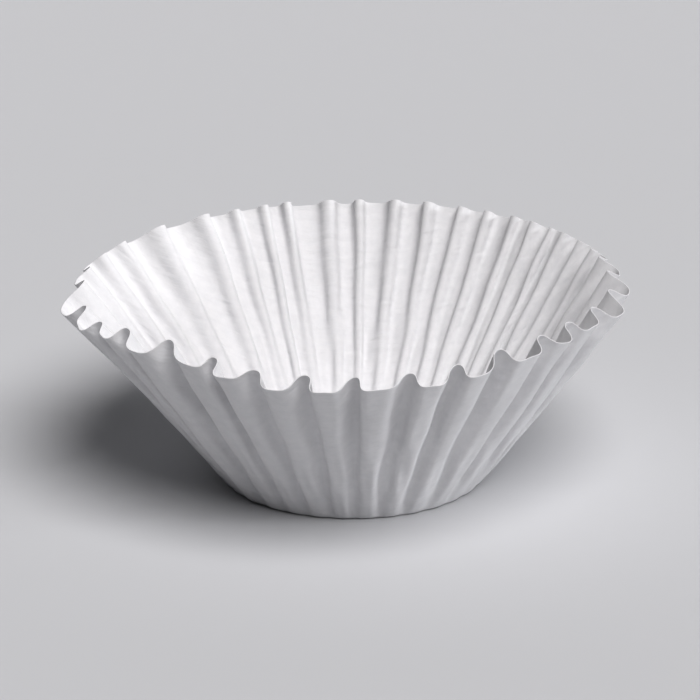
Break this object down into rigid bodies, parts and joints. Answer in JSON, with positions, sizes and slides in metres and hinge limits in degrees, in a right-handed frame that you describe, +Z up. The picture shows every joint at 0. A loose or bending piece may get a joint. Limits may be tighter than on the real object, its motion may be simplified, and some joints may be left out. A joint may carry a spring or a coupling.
{
  "type": "paper coffee filter",
  "caption": "Flat-bottomed basket filter pressed from one disc of white paper, with a fluted, flaring wall and a wavy rim.",
  "frame": {"origin": "middle of the base's underside, on the surface that the filter stands on", "axes": "+Z up, out of the cup's open mouth; -Y towards the front of the pictured view; +X to its right"},
  "size_m": [0.1624, 0.1615, 0.0609],
  "materials": {
    "filter_paper": "uncoated white creped filter paper, matt"
  },
  "bodies": {
    "root": {"filter_paper": "filter_paper"}
  },
  "joints": []
}
